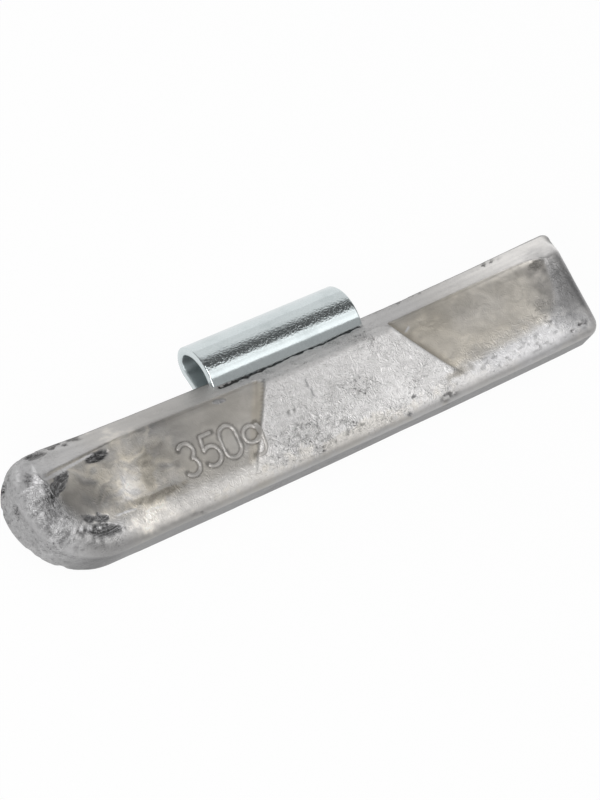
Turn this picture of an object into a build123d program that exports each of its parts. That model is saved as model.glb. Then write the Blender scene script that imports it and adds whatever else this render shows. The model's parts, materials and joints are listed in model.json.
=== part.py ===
from build123d import *
import math
import os

# Clip-on balance weight for a truck wheel: a curved bar of cast lead with a spring-steel clip cast into
# its top edge. Casting frame, in millimetres: X along the bar with 0 at the middle of the clip, Y towards
# the clip with 0 where the clip leaves the lead, Z out of the marked face with 0 on the back at X = 0.

# Bar, seen along X
RIM_RADIUS = 400.0          # wheel axis to the back of the bar
RIM_CONE = 10.0             # face leans out of the wheel's axial direction, degrees
BAR_THICKNESS = 12.8        # back to marked face
BAR_DEPTH = 21.5            # clip root down to the lower edge of the back
RIDGE_RISE = 2.0            # ridge along the top, above the clip root
RIDGE_HEIGHT = 5.4          # ridge, above the back
CROWN_RADIUS = 18.0         # rounded upper back that seats in the rim
FACE_TOP = 3.2              # clip root down to the upper edge of the face
SIDE_DRAFT = 4.0            # mould draft of the lower side and the nose, degrees
RIDGE_ROUND = 1.4           # rounding along the ridge
BEVEL_ROUND = 1.6           # rounding where the bevel meets the face
EDGE_ROUND = 1.0            # rounding of the outer edges, round the face and round the back

# Bar, seen on its face
NOSE_REACH = 64.5           # clip middle to the tip of the round nose
NOSE_TIP = 5.6              # clip root down to the tip of the nose
END_REACH = 60.2            # clip middle to the cut end, at the upper edge of the face
END_LEAN = 3.0              # cut end out of square, degrees
END_DRAFT = 20.0            # slope of the cut end, degrees
END_LOW_RADIUS = 3.6
TOP_CLEARANCE = 0.4         # outline stands this far over the ridge at the ends, so the ridge stays whole
PARTING_DROP = 1.0          # outline is drawn this far behind the back

# Two sunk fields in the face, one each side of a raised middle
FIELD_TOP = 1.9             # clip root down to the step under the top bevel
FIELD_LOW = 17.4            # clip root down to the faint lower edge
FIELD_DEPTH = 2.4           # below the face at the step
FIELD_LOW_DEPTH = 0.35      # below the face at the lower edge
STEP_DRAFT = 10.0           # slope of the step, degrees
LOW_DRAFT = 45.0            # slope of the lower edge, degrees
MIDDLE_DRAFT = 25.0         # slope of the walls of the raised middle, degrees
MIDDLE_LEFT = 8.2           # wall of the raised middle on the nose side, at the clip root
MIDDLE_LEFT_LEAN = 31.5     # and its slant from Y, degrees
MIDDLE_RIGHT = 18.6         # the same on the side of the cut end
MIDDLE_RIGHT_LEAN = 31.0
NOSE_RIM = 5.0              # lead left between the field and the nose tip
END_RIM = 2.8               # and between the field and the cut end
FIELD_END_DRAFT = 35.0      # slope of the outer end of a field, degrees
FIELD_END_ROUND = 5.0       # corners of the outer end
FIELD_FLOOR_ROUND = 1.0     # foot of the walls

# Clip, bent from sheet
SHEET = 1.6
CLIP_WIDTH = 34.6
CLIP_HEIGHT = 7.5           # clip datum above the back of the bar
SHOULDER_RADIUS = 6.57      # middle of the sheet, front bend
SHOULDER_RISE = 2.95        # its centre, above the clip root
SHOULDER_SETBACK = 6.07     # its centre, behind the datum
HOOK_RADIUS = 3.0           # middle of the sheet, tight rear bend
HOOK_START = 17.0           # rear bend starts this far in front of the top, degrees
LEG_LEAN = 18.0             # free leg leans in towards the bar, degrees
LEG_LENGTH = 4.6            # straight part of the free leg
TANG_SETBACK = 2.0          # cast-in tang behind the datum
TANG_RADIUS = 3.0           # bend between tang and shoulder
TANG_DEPTH = 12.0           # tang reaches this far below the clip root
KEY_HOLE = 5.0              # holes in the tang that the lead fills
KEY_PITCH = 17.0
KEY_DEPTH = 8.2             # their centres, below the clip root

cone = math.radians(RIM_CONE)
to_axis = Vector(0, math.sin(cone), math.cos(cone))
wheel_axis = Axis(to_axis * RIM_RADIUS, (0, math.cos(cone), -math.sin(cone)))
overlap = BAR_THICKNESS     # how far cutting shapes run past what they cut


def vertex_at(sketch, point):
    """Return the corner of a sketch that lies at a point."""
    return min(sketch.vertices(), key=lambda v: math.hypot(v.X - point[0], v.Y - point[1]))


def shared_edges(face, other):
    """Return the edges that two faces share."""
    return ShapeList(edge for edge in face.edges() if any(edge.is_same(twin) for twin in other.edges()))


def sharp_edges(solid, turn=10):
    """Return the edges of a solid where its surface turns a corner of more than so many degrees."""
    found = ShapeList()
    for edge in solid.edges():
        middle = edge.position_at(0.5)
        sides = [face for face in solid.faces() if any(edge.is_same(other) for other in face.edges())]
        normals = [face.normal_at(middle) for face in sides]
        if len(normals) == 2 and normals[0].get_angle(normals[1]) > turn:
            found.append(edge)
    return found


def revolved(section, start_reach, end_reach):
    """Sweep a (y, z) section round the wheel axis, between two distances along X at the back."""
    start_deg = math.degrees(math.asin(start_reach / RIM_RADIUS))
    end_deg = math.degrees(math.asin(end_reach / RIM_RADIUS))
    placed = (Plane.YZ * section).rotate(wheel_axis, -start_deg)
    return revolve(placed, wheel_axis, start_deg - end_deg)


def bar_blank():
    """Bar swept round the wheel, running past its lower side and both ends."""
    low = -BAR_DEPTH - overlap
    crown_run = math.sqrt(CROWN_RADIUS**2 - (CROWN_RADIUS - RIDGE_HEIGHT) ** 2)
    flat_start = (low, 0)
    flat_end = (RIDGE_RISE - crown_run, 0)
    ridge = (RIDGE_RISE, RIDGE_HEIGHT)
    bevel_end = (-FACE_TOP, BAR_THICKNESS)
    outline = Line(flat_start, flat_end)
    outline += TangentArc(flat_end, ridge, tangent=(1, 0))
    outline += Polyline(ridge, bevel_end, (low, BAR_THICKNESS), flat_start)
    section = make_face(outline)
    section = fillet(vertex_at(section, ridge), RIDGE_ROUND)
    section = fillet(vertex_at(section, bevel_end), BEVEL_ROUND)
    return revolved(section, -NOSE_REACH - overlap, END_REACH + overlap)


def bow(reach):
    """Distance that the bar's back has bent out of its middle plane at a reach along X."""
    return RIM_RADIUS - math.sqrt(RIM_RADIUS**2 - reach**2)


def plan_prism():
    """Outline of the bar on its face, with the round nose, drawn out with mould draft."""
    end_bow = bow(max(NOSE_REACH, END_REACH))
    draft = math.radians(SIDE_DRAFT)
    draft_run = (PARTING_DROP + RIDGE_HEIGHT + end_bow * math.cos(cone)) * math.tan(draft)
    top = RIDGE_RISE + end_bow * math.sin(cone) + draft_run + TOP_CLEARANCE
    upper_round = top + NOSE_TIP
    lower_round = BAR_DEPTH - NOSE_TIP
    upper_centre = Vector(upper_round - NOSE_REACH, -NOSE_TIP)
    lower_centre = Vector(lower_round - NOSE_REACH, -NOSE_TIP)
    past_end = END_REACH + overlap
    outline = Line((past_end, top), (upper_centre.X, top))
    outline += CenterArc(upper_centre, upper_round, 90, 90)
    outline += CenterArc(lower_centre, lower_round, 180, 90)
    outline += Polyline((lower_centre.X, -BAR_DEPTH), (past_end, -BAR_DEPTH), (past_end, top))
    draw = BAR_THICKNESS + overlap
    return extrude(Pos(0, 0, -PARTING_DROP) * make_face(outline), draw, dir=(0, 0, 1), taper=SIDE_DRAFT)


def wall_plane(side, reach, drop, lean, draft):
    """Sloping plane across the face at a reach along X and a drop below the clip root.

    lean turns it out of square on the face, draft slopes it through the thickness, and its normal
    points along side."""
    point = Vector(reach, -drop, BAR_THICKNESS + bow(reach) * math.cos(cone))
    turn = math.radians(lean)
    slope = math.radians(draft)
    level = Vector(side * math.cos(turn), math.sin(turn), 0)
    return Plane(origin=point, z_dir=level * math.cos(slope) + Vector(0, 0, math.sin(slope)))


def rounded_bar():
    """Bar trimmed to its outline and cut end, with every outer edge rounded."""
    cut_end = wall_plane(1, END_REACH, FACE_TOP, END_LEAN, END_DRAFT)
    bar = split(bar_blank() & plan_prism(), cut_end, keep=Keep.BOTTOM)
    end_face = bar.faces().filter_by(GeomType.PLANE).sort_by(Axis.X)[-1]
    low_side = bar.faces().filter_by(GeomType.PLANE).sort_by(Axis.Y)[0]
    bar = fillet(shared_edges(end_face, low_side), END_LOW_RADIUS)
    return fillet(sharp_edges(bar), EDGE_ROUND)


def foot_count(edge, face):
    """Count the ends of an edge that are corners of a face."""
    return sum(vertex.is_same(corner) for vertex in edge.vertices() for corner in face.vertices())


def field(side, middle, middle_lean, outer):
    """Cutting shape of one sunk field. side is -1 towards the nose and 1 towards the cut end."""
    step_run = overlap * math.tan(math.radians(STEP_DRAFT))
    low_run = overlap * math.tan(math.radians(LOW_DRAFT))
    section = make_face(Polyline(
        (-FIELD_TOP, BAR_THICKNESS - FIELD_DEPTH),
        (-FIELD_LOW, BAR_THICKNESS - FIELD_LOW_DEPTH),
        (-FIELD_LOW - low_run, BAR_THICKNESS - FIELD_LOW_DEPTH + overlap),
        (-FIELD_TOP + step_run, BAR_THICKNESS - FIELD_DEPTH + overlap),
        close=True,
    ))
    reach = sorted([0, side * (outer + overlap)])
    shape = revolved(section, *reach)
    wall = wall_plane(-side, side * middle, 0, -middle_lean, -MIDDLE_DRAFT)
    end = wall_plane(side, side * outer, 0, 0, -FIELD_END_DRAFT)
    shape = split(shape, wall, keep=Keep.BOTTOM)
    shape = split(shape, end, keep=Keep.BOTTOM)
    floor = shape.faces().filter_by(GeomType.CONE).sort_by(Axis.Z)[0]
    end_face = shape.faces().filter_by(GeomType.PLANE).sort_by(Axis((0, 0, 0), (side, 0, -1)))[-1]
    corners = ShapeList(edge for edge in end_face.edges() if foot_count(edge, floor) == 1)
    shape = fillet(corners, FIELD_END_ROUND)
    floor = shape.faces().filter_by(GeomType.CONE).sort_by(Axis.Z)[0]
    return fillet(floor.edges(), FIELD_FLOOR_ROUND)


class ClipPath:
    """Line of the clip's sheet in (y, z): tang, bend, shoulder, hook and free leg, all tangent."""

    shoulder = Vector(SHOULDER_RISE, CLIP_HEIGHT - SHOULDER_SETBACK)
    hook_turn = HOOK_START + 90 + LEG_LEAN
    hook = shoulder + Vector(SHOULDER_RADIUS - HOOK_RADIUS, 0).rotate(Axis.Z, HOOK_START)
    leg_out = Vector(1, 0).rotate(Axis.Z, HOOK_START - hook_turn)
    leg_down = leg_out.rotate(Axis.Z, -90)
    tang_height = CLIP_HEIGHT - TANG_SETBACK
    bend_rise = tang_height + TANG_RADIUS - shoulder.Y
    bend_run = math.sqrt((SHOULDER_RADIUS + TANG_RADIUS) ** 2 - bend_rise**2)
    bend = shoulder + Vector(-bend_run, bend_rise)
    bend_angle = math.degrees(math.atan2(bend_rise, -bend_run))

    def at(self, offset):
        """Line at an offset from the middle of the sheet, positive on the outside of the hook."""
        tang_end = Vector(-TANG_DEPTH, self.tang_height + offset)
        bend_start = Vector(self.bend.X, self.tang_height + offset)
        leg_start = self.hook + self.leg_out * (HOOK_RADIUS + offset)
        line = Line(tang_end, bend_start)
        line += CenterArc(self.bend, TANG_RADIUS - offset, -90, self.bend_angle - 90)
        shoulder_turn = HOOK_START - self.bend_angle
        line += CenterArc(self.shoulder, SHOULDER_RADIUS + offset, self.bend_angle, shoulder_turn)
        line += CenterArc(self.hook, HOOK_RADIUS + offset, HOOK_START, -self.hook_turn)
        line += Line(leg_start, leg_start + self.leg_down * LEG_LENGTH)
        return line


def bent_clip():
    """Clip bent from sheet, with key holes through its tang."""
    outside = clip_path.at(SHEET / 2)
    inside = clip_path.at(-SHEET / 2)
    outline = outside + inside
    ends = [wire.position_at(place) for place in (0, 1) for wire in (outside.wire(), inside.wire())]
    outline += Line(ends[0], ends[1])
    outline += Line(ends[2], ends[3])
    clip = extrude(Plane.YZ * make_face(outline), CLIP_WIDTH / 2, both=True)
    hole = Cylinder(KEY_HOLE / 2, 2 * SHEET)
    for side in (-1, 1):
        clip -= Pos(side * KEY_PITCH / 2, -KEY_DEPTH, clip_path.tang_height) * hole
    return clip


clip_path = ClipPath()
spring_clip = bent_clip()
cast_weight = rounded_bar()
cast_weight -= field(-1, MIDDLE_LEFT, MIDDLE_LEFT_LEAN, NOSE_REACH - NOSE_RIM)
cast_weight -= field(1, MIDDLE_RIGHT, MIDDLE_RIGHT_LEAN, END_REACH - END_RIM)
cast_weight -= spring_clip

# The weight lies on its back, on the hook of the clip and on the lower edge of the bar
corner = math.radians(90 - SIDE_DRAFT)
edge_y = -BAR_DEPTH + PARTING_DROP / math.tan(corner) + EDGE_ROUND / math.tan(corner / 2)
reach = clip_path.hook - Vector(edge_y, EDGE_ROUND)
lift = HOOK_RADIUS + SHEET / 2 - EDGE_ROUND
lie = math.degrees(math.asin(lift / reach.length) - math.atan2(reach.Y, reach.X))
nodes = {"cast_weight": Rot(X=lie) * cast_weight, "spring_clip": Rot(X=lie) * spring_clip}
box = Compound(list(nodes.values())).bounding_box()
origin = Vector(box.center().X, box.center().Y, box.min.Z)

os.makedirs("parts", exist_ok=True)
for name, shape in nodes.items():
    export_step(Pos(-origin) * shape, f"parts/{name}.step")
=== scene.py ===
import json
import math
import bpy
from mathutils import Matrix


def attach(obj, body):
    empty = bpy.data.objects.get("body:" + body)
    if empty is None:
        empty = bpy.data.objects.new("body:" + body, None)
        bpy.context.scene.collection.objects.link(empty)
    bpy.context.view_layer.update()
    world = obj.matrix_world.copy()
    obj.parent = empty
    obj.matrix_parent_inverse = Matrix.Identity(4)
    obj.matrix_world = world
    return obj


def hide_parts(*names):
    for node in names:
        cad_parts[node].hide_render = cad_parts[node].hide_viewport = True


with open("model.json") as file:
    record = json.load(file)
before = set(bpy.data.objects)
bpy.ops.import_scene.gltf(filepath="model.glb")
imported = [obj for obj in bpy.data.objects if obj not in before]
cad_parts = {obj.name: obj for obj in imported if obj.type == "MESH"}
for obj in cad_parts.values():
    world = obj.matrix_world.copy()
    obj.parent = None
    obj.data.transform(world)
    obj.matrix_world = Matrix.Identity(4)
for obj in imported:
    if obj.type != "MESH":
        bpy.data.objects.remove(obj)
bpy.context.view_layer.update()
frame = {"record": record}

from types import SimpleNamespace
from typing import NamedTuple

import bmesh
import bpy
import numpy as np
from mathutils import Matrix, Vector

# Spring clip: one strip of spring steel, rolled into a shoulder and a hook that grip the rim's flange, then
# zinc plated. It is bent first and laid in the mould, so that its tang stays cast in the lead.
# Sizes are millimetres in the casting's frame: X along the bar, Y towards the clip, Z out of the face.
SHEET = 1.6
SHEET_ROUND = 0.3
CLIP_WIDTH = 34.6
CLIP_HEIGHT = 7.5
SHOULDER_RADIUS = 6.57
SHOULDER_RISE = 2.95
SHOULDER_SETBACK = 6.07
HOOK_RADIUS = 3.0
HOOK_START = 17.0
LEG_LEAN = 18.0
LEG_LENGTH = 4.6
TANG_SETBACK = 2.0
TANG_RADIUS = 3.0
TANG_DEPTH = 12.0
EDGE_SHARE = 0.98
CLIP_COLUMNS = 110
MERGE_DISTANCE = 0.002
SLIVER_EDGE = 0.0005
PLATE_WAVES = 0.006
WAVE_SIZE = 1.6
STRETCH_START = (50, 68)
STRETCH_END = (90, 83)
ZINC = (0.64, 0.695, 0.705, 1)
ZINC_DULL = (0.48, 0.535, 0.545, 1)


def unit(degrees):
    """Unit vector at an angle."""
    return np.array([math.cos(math.radians(degrees)), math.sin(math.radians(degrees))])


def arc(centre, radius, start, end, count):
    """Points round a circle from one angle to another, in degrees, and the directions from its centre."""
    turn = np.radians(np.linspace(start, end, count))
    out = np.stack([np.cos(turn), np.sin(turn)], -1)
    return np.asarray(centre) + radius * out, out


def straight(start, end, count):
    """Points evenly spaced on a line."""
    share = np.linspace(0, 1, count)[:, None]
    return np.asarray(start) * (1 - share) + np.asarray(end) * share


def grid_faces(index):
    """Corners of the quads between neighbouring rows and columns of a grid of vertex numbers."""
    corners = [index[:-1, :-1], index[1:, :-1], index[1:, 1:], index[:-1, 1:]]
    return np.stack(corners, -1).reshape(-1, 4)


def smooth(start, end, value):
    """0 before the start and 1 past the end, with a smooth step between them."""
    share = np.clip((value - start) / (end - start), 0, 1)
    return share * share * (3 - 2 * share)


def lumps(points, size, seed):
    """Uneven field of about -1 to 1: random values on a cubic lattice, joined by smooth steps."""
    side = 64
    lattice = np.random.default_rng(seed).uniform(-1, 1, (side, side, side))
    place = points / size
    cell = np.floor(place).astype(int)
    step = place - cell
    step = step * step * (3 - 2 * step)
    total = np.zeros(points.shape[:-1])
    for corner in np.ndindex(2, 2, 2):
        share = np.where(corner, step, 1 - step).prod(-1)
        near = (cell + corner) % side
        total += share * lattice[near[..., 0], near[..., 1], near[..., 2]]
    return total


mounts = {mount["name"]: mount for mount in frame["record"]["mounts"]}
seat_axis = mounts["rim_seat"]["axis"]
lie = math.atan2(seat_axis[1], -seat_axis[2])
shoulder_centre = np.array([SHOULDER_RISE, CLIP_HEIGHT - SHOULDER_SETBACK])
hook_centre = shoulder_centre + (SHOULDER_RADIUS - HOOK_RADIUS) * unit(HOOK_START)


def laid(points):
    """Turn casting-frame points about X by the angle at which the weight lies."""
    x, y, z = np.moveaxis(points, -1, 0)
    return np.stack([x, y * math.cos(lie) - z * math.sin(lie), y * math.sin(lie) + z * math.cos(lie)], -1)


hook_place = np.array(mounts["rim_clip"]["pos_m"]) * 1000
casting_shift = hook_place - laid(np.array([0.0, *hook_centre]))


def in_frame(points):
    """Casting-frame millimetres to metres in the shared frame."""
    return (laid(points) + casting_shift) / 1000


def new_piece(name, points, faces):
    """Closed smooth mesh with its doubles merged and its faces pointing outwards."""
    mesh = bpy.data.meshes.new(name)
    mesh.from_pydata(points.tolist(), [], faces.tolist())
    work = bmesh.new()
    work.from_mesh(mesh)
    bmesh.ops.remove_doubles(work, verts=work.verts, dist=MERGE_DISTANCE)
    bmesh.ops.dissolve_degenerate(work, edges=work.edges, dist=SLIVER_EDGE)
    bmesh.ops.recalc_face_normals(work, faces=work.faces)
    work.to_mesh(mesh)
    work.free()
    mesh.shade_smooth()
    piece = bpy.data.objects.new(name, mesh)
    bpy.context.scene.collection.objects.link(piece)
    return piece


def mesh_points(mesh):
    """Vertices of a mesh and their normals, as arrays."""
    points = np.empty(len(mesh.vertices) * 3, np.float32)
    mesh.vertices.foreach_get("co", points)
    normals = np.empty(len(mesh.vertices) * 3, np.float32)
    mesh.vertex_normals.foreach_get("vector", normals)
    return points.reshape(-1, 3).astype(float), normals.reshape(-1, 3).astype(float)


def place_points(mesh, points):
    """Put moved vertices back into a mesh."""
    mesh.vertices.foreach_set("co", points.astype(np.float32).ravel())
    mesh.update()


def add_attribute(mesh, name, values):
    """Store one number for each vertex, for a material to read."""
    attribute = mesh.attributes.new(name, "FLOAT", "POINT")
    attribute.data.foreach_set("value", values.astype(np.float32))


def clip_line():
    """Middle of the sheet in (y, z) with its outward normals: tang, bend, shoulder, hook and free leg."""
    tang_height = CLIP_HEIGHT - TANG_SETBACK
    bend_rise = tang_height + TANG_RADIUS - shoulder_centre[1]
    bend_run = math.sqrt((SHOULDER_RADIUS + TANG_RADIUS) ** 2 - bend_rise**2)
    bend_centre = shoulder_centre + np.array([-bend_run, bend_rise])
    bend_angle = math.degrees(math.atan2(bend_rise, -bend_run))
    leg_angle = -90 - LEG_LEAN
    leg_start = hook_centre + HOOK_RADIUS * unit(leg_angle)
    leg_end = leg_start + (LEG_LENGTH - SHEET_ROUND) * unit(leg_angle - 90)
    tang = straight((-TANG_DEPTH + SHEET_ROUND, tang_height), (bend_centre[0], tang_height), 16)
    bend, bend_out = arc(bend_centre, TANG_RADIUS, -90, bend_angle - 180, 14)
    shoulder, shoulder_out = arc(shoulder_centre, SHOULDER_RADIUS, bend_angle, HOOK_START, 70)
    hook, hook_out = arc(hook_centre, HOOK_RADIUS, HOOK_START, leg_angle, 56)
    leg = straight(leg_start, leg_end, 16)
    points = np.concatenate([tang, bend[1:], shoulder[1:], hook[1:], leg[1:]])
    tang_out = np.broadcast_to((0.0, 1.0), tang.shape)
    leg_out = np.broadcast_to(unit(leg_angle), leg.shape)
    normals = np.concatenate([tang_out, -bend_out[1:], shoulder_out[1:], hook_out[1:], leg_out[1:]])
    return points, normals


def sheet_section(inset):
    """Round-cornered section of the sheet as (x, offset), drawn in by an inset. Its second half is its first
    half mirrored, in reverse order."""
    round_left = SHEET_ROUND - inset
    across = CLIP_WIDTH / 2 - SHEET_ROUND
    rise = SHEET / 2 - SHEET_ROUND
    left, _ = arc((-across, rise), round_left, 180, 90, 5)
    right, _ = arc((across, rise), round_left, 90, 0, 5)
    top = straight(left[-1], right[0], CLIP_COLUMNS)
    upper = np.concatenate([left, top[1:-1], right])
    return np.concatenate([upper, upper[::-1] * (1, -1)])


def clip_surface():
    """Section of the sheet carried along its line, drawn in to a round edge at both ends of the strip."""
    points, normals = clip_line()
    turns = np.radians([90, 60, 30])
    ahead = points[0] - points[1]
    behind = points[-1] - points[-2]
    slide = SHEET_ROUND * np.sin(turns)[:, None]
    start = points[0] + slide * ahead / np.linalg.norm(ahead)
    end = points[-1] + slide[::-1] * behind / np.linalg.norm(behind)
    line = np.concatenate([start, points, end])
    out = np.pad(normals, ((len(turns), len(turns)), (0, 0)), "edge")
    edge_inset = SHEET_ROUND * (1 - np.cos(turns)) * EDGE_SHARE
    insets = np.concatenate([edge_inset, np.zeros(len(points)), edge_inset[::-1]])
    sections = np.stack([sheet_section(inset) for inset in insets])
    across = sections[..., :1]
    body = line[:, None] + out[:, None] * sections[..., 1:]
    surface = np.concatenate([across, body], -1)
    index = np.arange(surface.shape[0] * surface.shape[1]).reshape(surface.shape[:2])
    faces = [grid_faces(np.concatenate([index, index[:, :1]], 1))]
    half = index.shape[1] // 2
    for row in (index[0], index[-1]):
        faces.append(grid_faces(np.stack([row[:half], row[::-1][:half]])))
    return surface.reshape(-1, 3), np.concatenate(faces)


class Shade:
    """A socket of a material's node tree. Arithmetic on it adds Math nodes to the tree."""

    def __init__(self, tree, socket=None):
        self.tree = tree
        self.socket = socket

    def node(self, kind, settings=None, inputs=None, output=0):
        """Add any node: its type, its settings, then the values or links of its sockets."""
        added = self.tree.nodes.new(kind)
        for name, value in (settings or {}).items():
            setattr(added, name, value)
        for name, value in (inputs or {}).items():
            if isinstance(value, Shade):
                self.tree.links.new(value.socket, added.inputs[name])
            else:
                added.inputs[name].default_value = value
        return Shade(self.tree, added.outputs[output])

    def math(self, operation, first, second):
        """Result of a Math node on two values."""
        return self.node("ShaderNodeMath", {"operation": operation}, {0: first, 1: second})

    def __add__(self, other):
        return self.math("ADD", self, other)

    def __radd__(self, other):
        return self.math("ADD", other, self)

    def __sub__(self, other):
        return self.math("SUBTRACT", self, other)

    def __rsub__(self, other):
        return self.math("SUBTRACT", other, self)

    def __mul__(self, other):
        return self.math("MULTIPLY", self, other)

    def __rmul__(self, other):
        return self.math("MULTIPLY", other, self)

    def attribute(self, name):
        """Number stored on the piece's vertices."""
        return self.node("ShaderNodeAttribute", {"attribute_name": name}, output="Fac")

    def mixed(self, factor, first, second):
        """Blend of two colours."""
        settings = {"data_type": "RGBA", "clamp_factor": True}
        return self.node("ShaderNodeMix", settings, {0: factor, 6: first, 7: second}, 2)

    def scaled(self, colour, amount):
        """Colour times a number."""
        sockets = {"Vector": colour, "Scale": amount}
        return self.node("ShaderNodeVectorMath", {"operation": "SCALE"}, sockets)

    def grain(self, scale, detail, stretch=(1, 1, 1), distortion=0.0):
        """Noise on Object coordinates, stretched along the axes."""
        place = self.node("ShaderNodeTexCoord", output="Object")
        place = self.node("ShaderNodeMapping", None, {"Vector": place, "Scale": stretch})
        sockets = {"Vector": place, "Scale": scale, "Detail": detail, "Roughness": 0.6}
        return self.node("ShaderNodeTexNoise", None, sockets | {"Distortion": distortion})

    def ramp(self, value, low, high):
        """Number that goes smoothly from 0 to 1 between two values."""
        settings = {"interpolation_type": "SMOOTHSTEP"}
        sockets = {"Value": value, "From Min": low, "From Max": high}
        return self.node("ShaderNodeMapRange", settings, sockets)

    def bump(self, height, distance, strength):
        """Normal roughened by a height."""
        sockets = {"Height": height, "Distance": distance, "Strength": strength}
        return self.node("ShaderNodeBump", None, sockets)


def finish(name, sockets):
    """Empty material with a Principled shader, and a Shade to build its sockets from."""
    material = bpy.data.materials.new(name)
    material.use_nodes = True
    shader = material.node_tree.nodes["Principled BSDF"]
    for socket, value in sockets.items():
        shader.inputs[socket].default_value = value
    return material, shader, Shade(material.node_tree)


def wire(shade, shader, sockets):
    """Link varying values to a shader's sockets."""
    for name, value in sockets.items():
        shade.tree.links.new(value.socket, shader.inputs[name])


def plate_zones(points, normals):
    """Shares of the grainy plate stretched over the shoulder, and of the dull plate inside the roll."""
    angle = np.degrees(np.arctan2(normals[:, 2], normals[:, 1]))
    outward = ((points[:, 1:] - shoulder_centre) * normals[:, 1:]).sum(1)
    stretched = smooth(*STRETCH_START, angle) * smooth(*STRETCH_END, angle)
    return stretched * (outward > 0), smooth(0.5, -0.5, outward)


def zinc_plate():
    """Bright zinc over rolled steel: fine lines along the strip, a dull film in patches, grain where the
    bend stretched it, and a duller plate inside the roll."""
    material, shader, shade = finish("zinc_plate", {"Metallic": 1.0})
    lines = shade.grain(900, 3, (0.15, 1, 1))
    specks = shade.grain(2400, 2)
    film = shade.ramp(shade.grain(160, 4), 0.45, 0.75)
    colour = shade.mixed(film * 0.5, ZINC, ZINC_DULL)
    stretched = shade.attribute("stretched")
    wire(shade, shader, {
        "Base Color": shade.scaled(colour, 0.92 + specks * 0.16),
        "Roughness": 0.1 + film * 0.05 + lines * 0.04 + shade.attribute("inner") * 0.35,
        "Normal": shade.bump(lines * 0.1 + specks * (0.04 + stretched * 0.96), 0.00009, 1.0),
    })
    return material


clip_points, clip_faces = clip_surface()
clip = new_piece("rolled_clip", clip_points, clip_faces)
clip_points, clip_normals = mesh_points(clip.data)
clip_points += clip_normals * PLATE_WAVES * lumps(clip_points, WAVE_SIZE, 5)[:, None]
stretched, inner = plate_zones(clip_points, clip_normals)
add_attribute(clip.data, "stretched", stretched)
add_attribute(clip.data, "inner", inner)
place_points(clip.data, in_frame(clip_points))
clip.data.materials.append(zinc_plate())
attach(clip, "root")
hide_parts("spring_clip")

# Cast bar: antimonial lead poured round the clip's tang, bowed to the rim, with a bevelled top edge,
# a round nose, a cut end and two sunk fields in its face. It cools rough in the middle and smooth in the
# fields, and it has been knocked about: pits, a torn nose, stains and rubbed edges.
RIM_RADIUS = 400.0
RIM_CONE = math.radians(10)
BAR_THICKNESS = 12.8
BAR_DEPTH = 21.5
RIDGE = np.array([2.0, 5.4])
CROWN_RADIUS = 18.0
FACE_TOP = 3.2
SIDE_DRAFT = math.tan(math.radians(4))
RIDGE_ROUND = 1.4
BEVEL_ROUND = 1.6
LOW_ROUND = 2.4
NOSE_ROUND = 5.0
NOSE_ROLL = (-42.0, -57.0)
BACK_ROUND = 0.9
NOSE_REACH = 64.5
NOSE_TIP = 5.6
NOSE_TOP = 4.117
NOSE_CORNER = 2.0
END_REACH = 60.2
END_LEAN = math.radians(3)
END_DRAFT = math.radians(20)
END_FLARE = 1.1
END_LOW_RADIUS = 2.7
END_TOP_RADIUS = 1.6
PARTING_DROP = 1.0
SECTION_SPARE = 3.0
FIELD_TOP = 1.9
FIELD_LOW = 17.4
FIELD_DEPTH = 2.4
FIELD_LOW_DEPTH = 0.35
STEP_SLOPE = math.tan(math.radians(10))
MIDDLE_SLOPE = math.tan(math.radians(25))
FIELD_END_SLOPE = math.tan(math.radians(55))
FIELD_END_BLEND = 2.4
FIELD_LOW_BLEND = 1.3
FIELD_BLEND = 0.45
WALL_BLEND = 0.5
LIP_BLEND = 0.2
MIDDLE_LEFT = 7.3
MIDDLE_RIGHT = 18.0
MIDDLE_LEAN = math.radians(33.5)
FIELD_LEFT_END = 59.5
FIELD_RIGHT_END = 57.4
FIELD_TAPER = 0.11
TAPER_START = 40.0
NOSE_COLUMNS = 100
BAR_COLUMNS = 290
ROWS = 96
FRONT_SHARE = 0.45
BACK_SHARE = 0.4
FRONT_ROUND_ROWS = 12
SIDE_ROWS = 12
BACK_ROUND_ROWS = 6
END_COLUMNS = 60
END_PULL = 1.5
END_CORNER_SHARE = 0.2


class Section:
    """One side of the bar's section in (y, z), measured by its run from the ridge to the low side."""

    def __init__(self, points):
        self.y, self.z = points.T
        lengths = np.hypot(np.diff(self.y), np.diff(self.z))
        self.run = np.concatenate([[0], np.cumsum(lengths)])

    def at(self, run):
        """Points at runs, by straight lines between the section's points."""
        return np.interp(run, self.run, self.y), np.interp(run, self.run, self.z)

    def run_to(self, y):
        """Run at which the section comes to a y."""
        return np.interp(-y, -self.y, self.run)

    def height(self, y):
        """Height of the section at a y."""
        return np.interp(-y, -self.y, self.z)


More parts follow.
